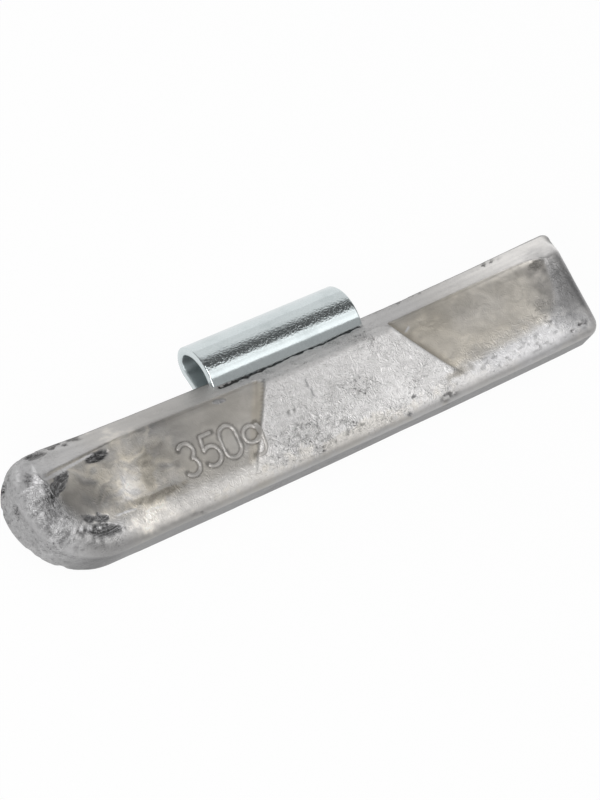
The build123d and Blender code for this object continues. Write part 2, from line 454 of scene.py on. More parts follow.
def bar_sections():
    """Front and back of the section: rounded ridge, bevel and face; rounded ridge, crown and flat back."""
    low = -BAR_DEPTH - SECTION_SPARE
    bevel = np.array([-FACE_TOP, BAR_THICKNESS]) - RIDGE
    bevel_along = bevel / np.linalg.norm(bevel)
    bevel_out = np.array([bevel_along[1], -bevel_along[0]])
    bevel_angle = math.degrees(math.atan2(bevel_out[1], bevel_out[0]))
    crown_run = math.sqrt(CROWN_RADIUS**2 - (CROWN_RADIUS - RIDGE[1]) ** 2)
    crown_centre = np.array([RIDGE[0] - crown_run, CROWN_RADIUS])
    foot = RIDGE - RIDGE_ROUND * bevel_out - crown_centre
    along = foot @ bevel_along
    step = -along - math.sqrt(along**2 - foot @ foot + (CROWN_RADIUS - RIDGE_ROUND) ** 2)
    ridge_centre = crown_centre + foot + step * bevel_along
    crown_angle = math.degrees(math.atan2(*(ridge_centre - crown_centre)[::-1]))
    bevel_run = BEVEL_ROUND * math.tan(math.radians(90 - bevel_angle) / 2)
    bevel_centre = (-FACE_TOP - bevel_run, BAR_THICKNESS - BEVEL_ROUND)
    ridge_front, _ = arc(ridge_centre, RIDGE_ROUND, 0, bevel_angle, 30)
    face_top, _ = arc(bevel_centre, BEVEL_ROUND, bevel_angle, 90, 30)
    ridge_back, _ = arc(ridge_centre, RIDGE_ROUND, 0, crown_angle, 30)
    crown, _ = arc(crown_centre, CROWN_RADIUS, crown_angle, -90, 60)
    front = np.concatenate([ridge_front, face_top, [(low, BAR_THICKNESS)]])
    back = np.concatenate([ridge_back, crown[1:], [(low, 0)]])
    return Section(front), Section(back)


front, back = bar_sections()


def soft_max(first, second, blend):
    """Larger of two heights, with the corner between them rounded."""
    return (first + second + np.sqrt((first - second) ** 2 + blend**2)) / 2


def soft_min(first, second, blend):
    """Smaller of two heights, with the corner between them rounded."""
    return -soft_max(-first, -second, blend)


def joined(first, second, reach):
    """Smaller of two lengths, rounded by a parabola where they differ by less than a reach."""
    near = np.clip(1 - np.abs(first - second) / reach, 0, None)
    return np.minimum(first, second) - near**2 * reach / 4


def field_height(x, y, middle, outer, taper=0.0):
    """One sunk field, for x measured away from the middle: the highest of its floor, which slopes up to
    a faint low edge, the step under the bevel, the slanted wall of the middle and its outer end."""
    top = FIELD_TOP + taper * np.clip(x - TAPER_START, 0, None)
    fall = (FIELD_DEPTH - FIELD_LOW_DEPTH) / (FIELD_LOW - FIELD_TOP)
    floor = BAR_THICKNESS - FIELD_DEPTH - (y + FIELD_TOP) * fall
    step = BAR_THICKNESS - FIELD_DEPTH + (y + top) / STEP_SLOPE
    low_edge = BAR_THICKNESS - FIELD_LOW_DEPTH - FIELD_LOW - y
    wall_run = (middle - y * math.tan(MIDDLE_LEAN) - x) * math.cos(MIDDLE_LEAN)
    wall = BAR_THICKNESS + wall_run / MIDDLE_SLOPE
    end = BAR_THICKNESS + (x - outer) / FIELD_END_SLOPE
    bowl = soft_max(soft_max(floor, end, FIELD_END_BLEND), low_edge, FIELD_LOW_BLEND)
    return soft_max(soft_max(bowl, step, FIELD_BLEND), wall, WALL_BLEND)


def marked_side(x, y, z):
    """Front of the bar: the height of its section, sunk into the two fields."""
    left = field_height(-x, y, MIDDLE_LEFT, FIELD_LEFT_END, FIELD_TAPER)
    right = field_height(x, y, MIDDLE_RIGHT, FIELD_RIGHT_END)
    return soft_min(soft_min(z, left, LIP_BLEND), right, LIP_BLEND)


def rim_side(x, y, z):
    """Back of the bar, which is plain."""
    return z


def bent(points):
    """Bow straight points round the wheel: each moves towards the axis by the sag of its own circle."""
    x, y, z = np.moveaxis(points, -1, 0)
    radius = RIM_RADIUS - y * math.sin(RIM_CONE) - z * math.cos(RIM_CONE)
    sag = radius - np.sqrt(radius**2 - x**2)
    return np.stack([x, y + sag * math.sin(RIM_CONE), z + sag * math.cos(RIM_CONE)], -1)


def unbent(points):
    """Undo the bow."""
    x, y, z = np.moveaxis(points, -1, 0)
    depth = RIM_RADIUS - y * math.sin(RIM_CONE) - z * math.cos(RIM_CONE)
    sag = np.hypot(depth, x) - depth
    return np.stack([x, y - sag * math.sin(RIM_CONE), z - sag * math.cos(RIM_CONE)], -1)


def ridge_at(x):
    """Points on the ridge."""
    return np.stack([x, np.full_like(x, front.y[0]), np.full_like(x, front.z[0])], -1)


end_height = BAR_THICKNESS + (RIM_RADIUS - math.sqrt(RIM_RADIUS**2 - END_REACH**2)) * math.cos(RIM_CONE)


def end_reach(y, z):
    """X of the cut end, which leans and slopes."""
    lean = (y + FACE_TOP) * math.tan(END_LEAN)
    slope = (z - end_height) * math.tan(END_DRAFT) / math.cos(END_LEAN)
    return END_REACH - lean - slope + END_FLARE * smooth(-FACE_TOP, RIDGE[0], y)


def draft(z):
    """Distance that the mould's draft draws the outline in at a height."""
    return (z + PARTING_DROP) * SIDE_DRAFT


def corner_centre(z):
    """Centre of the round corner between the low side and the cut end."""
    y = -BAR_DEPTH + draft(z) + END_LOW_RADIUS
    return end_reach(y, z) - END_LOW_RADIUS / math.cos(END_LEAN), y


lower_round = BAR_DEPTH - NOSE_TIP
upper_round = NOSE_TOP + NOSE_TIP
nose_turns = np.radians(np.linspace(0, 90, NOSE_COLUMNS))
low_turns = np.concatenate([nose_turns, np.full(BAR_COLUMNS, math.pi / 2)])
low_share = np.concatenate([np.zeros(NOSE_COLUMNS), np.linspace(0, 1, BAR_COLUMNS + 1)[1:]])
top_turns = np.arccos(np.clip(1 - lower_round / upper_round * (1 - np.cos(nose_turns)), 0, 1))
end_share = np.linspace(0, 1, ROWS)


def low_outline(z, inset):
    """Outline from the nose tip round the lower nose and along the low side, drawn in by an inset."""
    radius = lower_round - draft(z) - inset
    nose_x = lower_round - NOSE_REACH - radius * np.cos(low_turns)
    x = nose_x * (1 - low_share) + corner_centre(z)[0] * low_share
    return x, -NOSE_TIP - radius * np.sin(low_turns)


def top_outline(z, inset):
    """Outline from the nose tip up round the upper nose."""
    radius = upper_round - draft(z) - inset
    x = upper_round - NOSE_REACH - radius * np.cos(top_turns)
    return x, joined(-NOSE_TIP + radius * np.sin(top_turns), bent(ridge_at(x))[:, 1], NOSE_CORNER)


def end_outline(z, inset):
    """Outline round the low corner and up the cut end to the ridge."""
    corner_x, corner_y = corner_centre(z)
    turn = (math.pi / 2 + END_LEAN) * np.clip(end_share / END_CORNER_SHARE, 0, 1) - math.pi / 2
    radius = END_LOW_RADIUS - inset
    arc_x = corner_x + radius * np.cos(turn)
    arc_y = corner_y + radius * np.sin(turn)
    rise = np.clip((end_share - END_CORNER_SHARE) / (1 - END_CORNER_SHARE), 0, 1)
    y = arc_y + (ridge_end[1] - arc_y) * rise
    return np.where(rise > 0, end_reach(y, z) - inset / math.cos(END_LEAN), arc_x), y


ridge_end = bent(ridge_at(np.array([END_REACH])))[0]
for _ in range(6):
    ridge_end = bent(ridge_at(np.array([end_reach(ridge_end[1], ridge_end[2])])))[0]


def rounded_top(points):
    """Round the corner of the ridge and the cut end: a square of the plan is drawn into a quarter disc."""
    x, y, z = np.moveaxis(points, -1, 0)
    edge = end_reach(y, z)
    across = np.clip((x - edge) / END_TOP_RADIUS + 1, 0, 1.1)
    along = np.clip((y - ridge_end[1]) / END_TOP_RADIUS + 1, 0, 1.1)
    x = x - END_TOP_RADIUS * across * (1 - np.sqrt(1 - along**2 / 2))
    y = y - END_TOP_RADIUS * along * (1 - np.sqrt(1 - across**2 / 2))
    return np.stack([x, y, z], -1)


def meeting(outline, section, side, inset):
    """Height at which an outline meets a side of the bar. The draft moves with it, so the step repeats."""
    z = np.full_like(inset, section.z[-1])
    for _ in range(8):
        x, y = outline(z, inset)
        flat = unbent(np.stack([x, y, z], -1))
        level = side(flat[:, 0], flat[:, 1], section.height(flat[:, 1]))
        z = bent(np.stack([flat[:, 0], flat[:, 1], level], -1))[:, 2]
    return z


def quarter(first, corner, last, count):
    """Curve of second degree, a quarter circle or close to it, between two tangent points about a corner."""
    share = np.linspace(0, 1, count)
    weights = np.stack([(1 - share) ** 2, math.sqrt(2) * share * (1 - share), share**2])
    return np.stack([first, corner, last], -1) @ (weights / weights.sum(0))


def wall(outline):
    """Wall along an outline, from the front to the back: a rounded edge, the drafted side, a rounded edge.
    The front edge grows into a roll at the nose, and both shrink where the bar tapers to the ridge."""
    none = np.zeros(len(outline(0.0, 0.0)[0]))
    front_edge = meeting(outline, front, marked_side, none)
    back_edge = meeting(outline, back, rim_side, none)
    room = np.clip(front_edge - back_edge, 0, None)
    roll = LOW_ROUND + (NOSE_ROUND - LOW_ROUND) * smooth(*NOSE_ROLL, outline(front_edge, none)[0])
    front_inset = np.minimum(roll, FRONT_SHARE * room)
    back_inset = np.minimum(BACK_ROUND, BACK_SHARE * room)
    front_in = meeting(outline, front, marked_side, front_inset)
    back_in = meeting(outline, back, rim_side, back_inset)
    front_z = quarter(front_in, front_edge, front_edge - front_inset, FRONT_ROUND_ROWS)
    back_z = quarter(back_edge + back_inset, back_edge, back_in, BACK_ROUND_ROWS)
    front_drawn = quarter(front_inset, none, none, FRONT_ROUND_ROWS)
    back_drawn = quarter(none, none, back_inset, BACK_ROUND_ROWS)
    side_share = np.linspace(0, 1, SIDE_ROWS + 2)[1:-1]
    side_z = front_z[:, -1:] * (1 - side_share) + back_z[:, :1] * side_share
    heights = np.concatenate([front_z, side_z, back_z], 1)
    insets = np.concatenate([front_drawn, np.zeros_like(side_z), back_drawn], 1)
    rows = [(*outline(z, inset), z) for z, inset in zip(heights.T, insets.T)]
    return unbent(np.stack(rows).transpose(2, 0, 1))


def filled(section, side, low, top, end):
    """Grid between the low side, the top and the cut end, spaced along the section. Near the cut end it is
    sheared so that its last column is that edge."""
    share = np.linspace(0, 1, ROWS)
    low_run = section.run_to(low[:, 1])[:, None]
    top_run = section.run_to(top[:, 1])[:, None]
    run = low_run + (top_run - low_run) * share
    x = low[:, :1] + (top[:, :1] - low[:, :1]) * share
    last = np.arange(END_COLUMNS - len(low), END_COLUMNS)
    pull = np.clip(last / (END_COLUMNS - 1), 0, 1)[:, None] ** END_PULL
    x = x + pull * (end[:, 0] - x[-1])
    run = run + pull * (section.run_to(end[:, 1]) - run[-1])
    y, z = section.at(run)
    return np.stack([x, y, side(x, y, z)], -1)


def sheets_mesh(sheets):
    """Vertices and quads of several grids of points, as one list of each."""
    points = []
    faces = []
    count = 0
    for sheet in sheets:
        index = count + np.arange(sheet.shape[0] * sheet.shape[1]).reshape(sheet.shape[:2])
        count += index.size
        points.append(sheet.reshape(-1, 3))
        faces.append(grid_faces(index))
    return np.concatenate(points), np.concatenate(faces)


def cast_surface():
    """Front and back of the bar and the wall round them."""
    low = wall(low_outline)
    top = wall(top_outline)
    end = wall(end_outline)
    end[-1] = unbent(ridge_end)
    nose = top[top_turns < math.pi / 2]
    share = (low[len(nose):, 0, 0] - low[len(nose), 0, 0]) / (low[-1, 0, 0] - low[len(nose), 0, 0])
    ridge_start = 2 * nose[-1, 0, 0] - nose[-2, 0, 0]
    ridge = ridge_at(ridge_start + (ridge_end[0] - ridge_start) * share)
    nose = np.concatenate([nose, np.broadcast_to(ridge[:1, None], (1, *nose.shape[1:]))])
    top_front = np.concatenate([nose[:, 0], ridge[1:]])
    top_back = np.concatenate([nose[:, -1], ridge[1:]])
    return sheets_mesh([
        filled(front, marked_side, low[:, 0], top_front, end[:, 0]),
        filled(back, rim_side, low[:, -1], top_back, end[:, -1]),
        low,
        nose,
        end,
    ])


class Mark(NamedTuple):
    """Mark on the casting: the middle, half-sizes and turn of an ellipse, then how deep, light, frayed and
    warm it is. Specks also have a size and a level of lumps below which the ground between them is bare."""

    place: tuple
    half: tuple
    turn: float = 0.0
    depth: float = 0.0
    tone: float = 1.0
    ragged: float = 0.4
    warm: float = 0.0
    size: float = 1.0
    bare: float = 0.0


# Pits and tears, zones of small specks, bright raised streaks, some of them painted highlights, the torn
# bowl at the nose, and the stains with painted shade among them, each placed on the bowed face.
PITS = {
    "oval_pit": Mark((-46.3, -3.2), (2.4, 1.0), 0, depth=0.8, tone=0.13, ragged=0.3),
    "torn_streak": Mark((-56.3, -5.7), (4.0, 1.2), 34, depth=0.45, tone=0.18, ragged=1.0),
    "torn_hole": Mark((-52.0, -15.5), (3.8, 1.3), -19, depth=0.7, tone=0.12, ragged=0.6),
    "torn_flap": Mark((-52.0, -13.4), (2.8, 0.9), -18, depth=0.35, tone=0.2, ragged=0.9),
    "torn_bend": Mark((-59.4, -8.0), (3.8, 1.1), 68, depth=0.08, tone=0.27, ragged=0.6),
    "nose_dent": Mark((-60.7, -2.6), (1.5, 0.4), 60, depth=0.4, tone=0.3, ragged=0.3),
    "nose_dot": Mark((-60.9, -12.5), (0.45, 0.4), 0, depth=0.25, tone=0.25, ragged=0.3),
    "nose_hole": Mark((-57.7, -17.9), (0.55, 0.45), 0, depth=0.3, tone=0.25, ragged=0.3),
    "nose_crack": Mark((-63.6, -7.8), (2.8, 0.3), -20, depth=0.3, tone=0.38, ragged=0.9),
    "field_smudge": Mark((-18.9, -2.6), (1.5, 0.5), -12, depth=0.05, tone=0.5, ragged=0.5),
    "middle_scratch": Mark((-1.5, -7.3), (2.4, 0.22), -83, depth=0.12, tone=0.6, ragged=0.6),
    "right_pit": Mark((17.7, -16.7), (0.6, 0.4), 0, depth=0.25, tone=0.4, ragged=0.5),
    "right_hole": Mark((15.5, -19.4), (0.6, 0.4), 0, depth=0.25, tone=0.4, ragged=0.6),
}
SPECKS = {
    "torn_tail": Mark((-59.4, -8.2), (3.0, 2.0), 58, depth=0.04, tone=0.3, size=0.8, bare=-0.15),
    "torn_side": Mark((-57.0, -13.9), (4.6, 1.6), 6, depth=0.04, tone=0.32, size=0.8, bare=-0.05),
    "torn_low": Mark((-54.0, -18.0), (6.0, 2.2), -8, depth=0.04, tone=0.42, size=0.8, bare=0.1),
    "nose_top": Mark((-63.0, -2.0), (2.2, 1.0), 60, depth=0.2, tone=0.38, size=0.7),
    "nose_chips": Mark((-52.5, 1.9), (10.0, 1.2), 2, depth=0.35, tone=0.24, size=1.3, bare=-0.1),
    "low_dots": Mark((-32.0, -20.0), (2.4, 0.7), 0, depth=0.2, tone=0.4, size=0.7),
    "middle_knot": Mark((-7.1, -9.6), (1.3, 0.9), 0, depth=0.15, tone=0.55, size=0.7),
    "middle_patch": Mark((-5.9, -14.0), (3.4, 2.6), 0, depth=0.15, tone=0.6, size=0.6, bare=0.1),
    "middle_low": Mark((2.0, -17.2), (7.0, 1.6), 0, depth=0.12, tone=0.75, size=0.7, bare=0.3),
    "edge_holes": Mark((24.7, -19.4), (2.4, 0.9), 0, depth=0.25, tone=0.4, size=0.7),
    "end_mark": Mark((54.8, -3.1), (2.0, 1.0), -10, depth=0.15, tone=0.26, size=0.6, bare=-0.1),
    "end_mottle": Mark((51.5, -12.6), (3.6, 3.4), 0, depth=0.05, tone=0.5, size=0.6, bare=0.1),
    "right_low": Mark((42.0, -17.2), (16.0, 2.6), 0, depth=0.03, tone=0.92, size=0.6, bare=0.2),
    "end_holes": Mark((55.6, -17.8), (3.2, 1.0), 8, depth=0.15, tone=0.3, size=0.5, bare=0.1),
    "bevel_chips": Mark((47.5, 1.5), (3.6, 0.7), 0, depth=0.25, tone=0.35, size=0.8, bare=0.1),
    "bevel_nicks": Mark((28.0, 1.6), (10.0, 0.5), 0, depth=0.15, tone=0.45, size=0.9, bare=0.25),
}
STREAKS_AND_HIGHLIGHTS = {
    # nose_streak, nose_fold and field_rim are painted highlights, on the nose's top fold and along the left
    # field's rim.
    "nose_streak": Mark((-61.5, -1.2), (1.7, 0.24), 55, depth=-0.12, tone=1.3, ragged=0.15),
    "nose_fold": Mark((-59.4, -2.4), (2.5, 0.34), 57, depth=-0.12, tone=1.2, ragged=0.2),
    "field_rim": Mark((-54.5, -3.3), (8.0, 0.3), 6, tone=1.05, ragged=0.3),
    "nose_scratch": Mark((-61.2, -13.2), (1.6, 0.26), -25, depth=-0.12, tone=1.35, ragged=0.3),
    "flap_edge": Mark((-54.4, -14.3), (3.0, 0.2), -14, depth=-0.1, tone=1.2, ragged=0.5),
    "far_tear": Mark((-46.5, -14.4), (2.6, 0.2), -4, depth=-0.1, tone=1.3, ragged=0.5),
    "right_spot": Mark((23.8, -4.4), (1.0, 0.25), 30, depth=-0.05, tone=1.0, ragged=0.6),
}
BOWL = Mark((-51.5, -9.3), (8.0, 6.2), -6)
STAINS_AND_PAINTED_SHADE = {
    # bowl, torn_shade, field_shade, end_shade, end_corner and end_edge are painted shade in hollows, on
    # slopes and on edges, field_corner is painted shade with a warm tint, and the rest are stains.
    "bowl": Mark((-53.2, -8.9), (6.5, 4.0), -8, tone=0.55, ragged=0.4),
    "torn_shade": Mark((-59.8, -8.8), (4.4, 2.6), 66, tone=0.66, ragged=0.6),
    "field_shade": Mark((-27.0, -3.4), (19.0, 4.6), 0, tone=0.86, ragged=0.4),
    "pale_band": Mark((-42.0, -9.2), (4.6, 9.5), -14, tone=1.5, warm=0.3, ragged=0.9),
    "white_blotch": Mark((-43.4, -10.8), (2.2, 3.2), -14, tone=1.2, warm=-0.4, ragged=0.7),
    "brown_streak": Mark((-42.0, -13.8), (3.6, 0.9), -8, tone=0.66, warm=0.6, ragged=0.8),
    "brown_line": Mark((-37.0, -14.0), (3.4, 0.8), 0, tone=0.68, warm=0.6, ragged=0.9),
    "brown_spot": Mark((-39.0, -10.0), (1.3, 3.4), -20, tone=0.7, warm=0.7, ragged=0.9),
    "pale_low": Mark((-41.0, -17.3), (7.0, 2.8), 0, tone=1.35, warm=0.1, ragged=0.8),
    "dark_tail": Mark((-34.5, -7.5), (4.0, 3.0), 0, tone=0.75, warm=0.1, ragged=0.9),
    "rubbed_low": Mark((44.0, -16.8), (15.0, 4.0), 0, tone=0.93, warm=-0.3, ragged=0.6),
    "end_shade": Mark((57.0, -9.8), (6.8, 9.8), 4, tone=0.27, warm=-0.2, ragged=0.2),
    "end_rim": Mark((61.2, -11.5), (1.1, 12.0), 3, tone=1.35, warm=-0.2, ragged=0.3),
    "low_freckles": Mark((4.0, -18.6), (26.0, 1.8), 0, tone=1.0, warm=0.3, ragged=1.3),
    "end_corner": Mark((53.0, -3.3), (5.0, 1.8), -8, tone=0.7, ragged=0.6),
    "end_edge": Mark((62.2, -0.6), (1.3, 3.6), -2, tone=0.32, ragged=0.3),
    "field_corner": Mark((28.6, -16.2), (3.2, 0.9), 0, tone=0.55, warm=0.5, ragged=0.6),
    "right_top": Mark((34.0, -4.0), (14.0, 3.4), 0, tone=0.85, warm=0.1, ragged=0.5),
}
CRINKLES = Mark((-4.0, -14.0), (10.0, 5.0))
ROOT_LINE = -0.2
ROOT_GAP = 0.42
ROOT_STEP = (-6.2, -5.6)
ROOT_DEPTH = 0.35
ROOT_FAR = 4.0
FACING = (0.05, 0.35)
NOSE_SPAN = (-52, -60)
NOSE_SPREAD = 0.7
FIELD_SPAN = (0.05, 0.5)
BEVEL_SPAN = (-3.6, -2.6)
STAIN_MIDDLE = -42
RIGHT_MARBLING = 0.15
COARSE_SIZE = 1.7
FINE_SIZE = 0.62
MARBLE_SIZE = 1.2
MARBLE_STRETCH = (0.7, 1.3, 1)
WARP_SIZE = 2.4
WARP_REACH = 2.0
COOL_LEAD = (0.58, 0.575, 0.58, 1)
WARM_LEAD = (0.60, 0.555, 0.48, 1)
MARK_PLACE = np.array([-32.4, -13.35])
MARK_SLANT = 0.1
STROKE_WIDTH = 0.78
STROKE_RISE = 0.27
STROKE_SINK = 0.3
STROKE_STEP = 0.12
LETTER_STARTS = (0.0, 4.9, 9.4, 14.1)
MARK_MIDDLE = 9.0
MARK_NEAR = 11.0


def ring(centre, radius, start, end):
    """Arc of a stroke."""
    count = 2 + int(radius * abs(math.radians(end - start)) / STROKE_STEP)
    return arc(centre, radius, start, end, count)[0]


def line(start, end):
    """Straight run of a stroke."""
    return straight(start, end, 2 + int(math.dist(start, end) / STROKE_STEP))


def mass_strokes():
    """Middle lines of the strokes that give the mass in grams, slanted a little, in the left field."""
    three, five, nought, gram = LETTER_STARTS
    strokes = [
        [ring((three + 2.0, 4.45), 1.6, 150, -62), ring((three + 2.05, 1.65), 1.65, 68, -150)[1:]],
        [
            line((five + 3.5, 6.05), (five + 0.9, 6.05)),
            line((five + 0.9, 6.05), (five + 0.6, 3.3))[1:],
            ring((five + 1.85, 1.95), 1.85, 132, -145)[1:],
        ],
        [
            ring((nought + 1.9, 4.35), 1.75, 0, 180),
            ring((nought + 1.9, 1.75), 1.75, 180, 360),
            line((nought + 3.65, 1.75), (nought + 3.65, 4.35))[1:],
            ring((nought + 1.9, 4.35), 1.75, 0, 30)[1:],
        ],
        [ring((gram + 1.75, 2.75), 1.6, 25, 335)],
        [line((gram + 3.4, 4.45), (gram + 3.4, 0.0)), ring((gram + 1.9, 0.0), 1.5, 0, -125)[1:]],
    ]
    paths = [np.concatenate(parts) for parts in strokes]
    return [MARK_PLACE + path + path[:, 1:] * (MARK_SLANT, 0) for path in paths]


def stroke_foot_shade(points):
    """1 along both foot lines of the strokes, where shade is painted, and 0 away from them."""
    share = np.zeros(len(points))
    near = np.abs(points[:, 0] - MARK_PLACE[0] - MARK_MIDDLE) < MARK_NEAR
    for path in mass_strokes():
        gaps = points[near, None, :2] - path
        distance = np.sqrt((gaps**2).sum(-1).min(1))
        share[near] = np.maximum(share[near], smooth(STROKE_WIDTH, STROKE_WIDTH * 0.55, distance))
    return share


def mark_distance(points, ragged, mark):
    """Distance from a mark's middle, 1 on its ellipse, made uneven by a rough field."""
    offset = points[:, :2] - mark.place
    ahead = unit(mark.turn)
    along = offset @ ahead / mark.half[0]
    across = offset @ np.array([-ahead[1], ahead[0]]) / mark.half[1]
    return np.hypot(along, across) + mark.ragged * ragged


def unevenness(points):
    """Slow rise and fall of the cast skin."""
    return 0.1 * lumps(points, 9.0, 15) + 0.045 * lumps(points, 3.2, 16)


def skin_fields(flat):
    """Places on the bar before and after it is bowed, and the fields that its skin is drawn from: coarse and
    fine lumps, a marbled flow, and a mix of them that frays outlines."""
    points = bent(flat)
    warp = np.stack([lumps(points, WARP_SIZE, 21), lumps(points, WARP_SIZE, 22), np.zeros(len(points))], -1)
    marble = lumps((points + WARP_REACH * warp) * MARBLE_STRETCH, MARBLE_SIZE, 23)
    coarse = lumps(points, COARSE_SIZE, 11)
    fine = lumps(points, FINE_SIZE, 12)
    ragged = 0.5 * coarse + 0.35 * fine + 0.25 * marble
    x, y, _ = flat.T
    return SimpleNamespace(x=x, y=y, points=points, coarse=coarse, fine=fine, marble=marble, ragged=ragged)


def skin_zones(x, y, out):
    """Share of each vertex in the zones of the casting, from its place and from its normal's rise out of
    the face: the open face, the nose, the two fields, the bevel, the ridge, the low roll, the middle."""
    facing = smooth(*FACING, out)
    nose = smooth(*NOSE_SPAN, x)
    body = 1 - nose
    left = front.height(y) - field_height(-x, y, MIDDLE_LEFT, FIELD_LEFT_END, FIELD_TAPER)
    right = front.height(y) - field_height(x, y, MIDDLE_RIGHT, FIELD_RIGHT_END)
    left = smooth(FIELD_SPAN[0], FIELD_SPAN[1] + NOSE_SPREAD * nose, left) * facing
    right = smooth(*FIELD_SPAN, right) * facing
    sunk = np.maximum(left, right)
    bevel = smooth(*BEVEL_SPAN, y) * facing * body
    stained = smooth(15, 5, np.abs(x - STAIN_MIDDLE))
    return SimpleNamespace(
        facing=facing,
        open_face=smooth(0.3, 0.6, out),
        shown=np.maximum(facing, nose * smooth(-0.5, -0.2, out)),
        nose=nose,
        left=left,
        right=right,
        sunk=sunk,
        bevel=bevel,
        ridge=smooth(0.55, 0.35, out) * smooth(0.5, 1.5, y) * body,
        low_roll=smooth(0.985, 0.7, out) * smooth(-14, -16, y) * body,
        low_face=smooth(-11, -15, y) * facing * body,
        middle=(1 - sunk) * (1 - bevel) * body * facing * smooth(-50, -30, x),
        by_clip=smooth(21, 17, np.abs(x)),
        by_fields=smooth(-12, -20, x) * smooth(-50, -44, x) + 0.7 * smooth(26, 34, x),
        stained=stained,
        marbled=sunk * stained + RIGHT_MARBLING * right,
    )


def skin_grain(skin, zone):
    """Roughness of the skin: crinkled in the middle, sandy low down and on the nose, smooth in fields."""
    crinkled = np.exp(-(mark_distance(np.stack([skin.x, skin.y], -1), 0, CRINKLES) ** 2))
    patches = smooth(-0.2, 0.9, lumps(skin.points, 3.6, 26) + 0.4 * skin.coarse + 0.8 * crinkled)
    smoothed = 0.95 * zone.sunk + 0.6 * zone.bevel * (1 - zone.by_clip) + 0.7 * zone.low_roll
    grain = np.clip(1 - smoothed, 0, 1) * (0.4 + 0.6 * patches) * (1 - 0.75 * zone.by_fields)
    grain *= 1 + zone.nose * (0.8 - 0.85 * zone.facing)
    sandy = 0.42 * zone.low_face * (0.5 + 0.5 * patches) * (1 - 0.6 * zone.low_roll)
    return np.maximum.reduce([grain, 0.12 * zone.stained * zone.left, sandy])


def skin_tone(skin, zone):
    """Brightness of the skin: dull fields and nose, painted shade on the walls, ridge and low roll where
    they turn from the face, a middle that lightens to the right, marbled stains in the fields, and painted
    light and shade on the bevel."""
    x, y = skin.x, skin.y
    veins = smooth(0.22, 0.0, np.abs(skin.marble))
    clouds = lumps(skin.points, 5.0, 13) * (0.3 + zone.sunk)
    brushed = lumps(skin.points * (0.06, 1.4, 1), 1.0, 29)
    over_clip = smooth(36, 10, x) * smooth(-40, -20, x)
    tone = 1 - 0.17 * zone.left - 0.14 * zone.right - 0.23 * zone.nose
    tone += (0.2 * smooth(-44, -20, x) + 0.14 * smooth(-10, 22, x)) * zone.middle
    # Painted shade where the surface turns away from the face: on the low roll, the ridge and the walls.
    tone *= (1 - 0.5 * zone.low_roll) * (1 - 0.6 * zone.ridge)
    tone *= 1 - (1 - zone.facing) * (0.77 - 0.61 * zone.nose)
    tone *= 1 + zone.nose * zone.shown * (0.12 * skin.fine + 0.07 * skin.coarse)
    tone *= 1 + 0.12 * clouds + 0.07 * skin.marble * zone.sunk
    tone *= 1 + zone.marbled * (0.22 * skin.marble + 0.15 * skin.coarse - 0.18 * veins)
    low_light = 0.1 * zone.middle * smooth(-10, -16, y) + 0.22 * zone.right * smooth(-8, -16, y)
    tone *= 1 + low_light + 0.12 * zone.bevel * brushed
    # Painted light and shade on the bevel: a painted highlight towards the cut end, darker over a span round
    # the clip, and lighter right beside the clip, where the clip's shadow falls.
    bevel_painted_light = 0.64 * smooth(30, 56, x) - 0.14 - 0.12 * over_clip + 0.14 * zone.by_clip
    return tone * (1 + zone.bevel * bevel_painted_light)


def skin_warmth(skin, zone):
    """Warm tint of the skin, strongest in the fields and uneven in their stains."""
    plain = zone.facing * (1 - zone.sunk) * (1 - zone.nose)
    warmth = 0.55 * zone.left + 0.75 * zone.right + (0.12 + 0.2 * zone.by_fields) * plain
    return warmth + 0.4 * zone.marbled * skin.marble + 0.2 * lumps(skin.points, 6.0, 14) * zone.sunk


def skin_rise(skin, zone, grain):
    """Height of the skin: slow waves, lumps where it is rough, and bites out of the nose's lower wall."""
    rough = grain * (0.06 - 0.045 * zone.nose) * (skin.coarse + 0.75 * skin.fine)
    folds = 0.012 * zone.nose * skin.coarse + 0.02 * zone.sunk * skin.marble
    bites = zone.nose * (1 - zone.facing) * smooth(-0.1, 0.6, lumps(skin.points, 1.2, 28))
    return unevenness(skin.points) + rough + folds - 0.3 * bites


def add_stains_and_painted_shade(skin, zone, look):
    """Lay the stains and the painted shade over the skin, then pepper where it is rough and bright flecks on
    the nose.
    """
    for stain_or_shade in STAINS_AND_PAINTED_SHADE.values():
        share = smooth(1.3, 0.35, mark_distance(skin.points, skin.ragged, stain_or_shade)) * zone.facing
        look.tone *= 1 + (stain_or_shade.tone - 1) * share
        look.warmth += stain_or_shade.warm * share
    flecks = smooth(0.35, 0.75, lumps(skin.points, 0.5, 24))
    pepper = smooth(0.45, 0.8, lumps(skin.points, 0.55, 25)) * look.grain * zone.shown
    look.tone *= 1 + 0.1 * zone.nose * flecks - (0.15 + 0.3 * zone.nose) * pepper


def torn_share(mark):
    """How far a mark shows torn metal: the darker, the more."""
    return min(max(1.25 - 1.5 * mark.tone, 0), 1)


